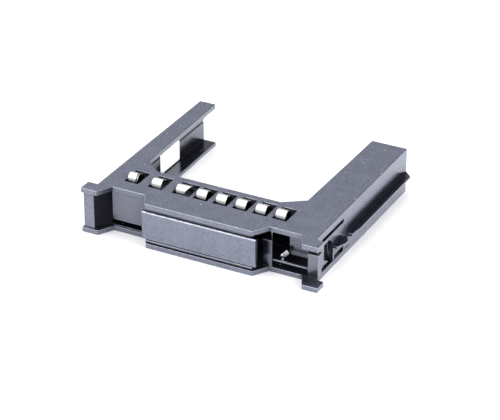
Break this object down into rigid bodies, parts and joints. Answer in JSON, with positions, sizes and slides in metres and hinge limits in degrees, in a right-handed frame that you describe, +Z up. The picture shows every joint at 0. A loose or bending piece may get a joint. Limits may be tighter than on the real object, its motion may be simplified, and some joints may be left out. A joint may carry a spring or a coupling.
{
  "type": "drive bay blank",
  "caption": "Open U-shaped black plastic blank for an empty drive bay, with a bezel grip, side rails, a snap catch and a row of sprung metal grounding fingers.",
  "frame": {"origin": "middle of the bounding box in plan, on the underside", "axes": "+X to the right along the bezel, +Y from the bezel towards the arms' ends, +Z up through the top plate"},
  "size_m": [0.077, 0.067, 0.0158],
  "materials": {
    "black_plastic": "satin black moulding with a fine grain",
    "spring_metal": "bright rolled spring metal",
    "label_paper": "matt white paper label"
  },
  "bodies": {
    "root": {"frame": "black_plastic", "spring_strip": "spring_metal", "label": "label_paper"}
  },
  "joints": []
}
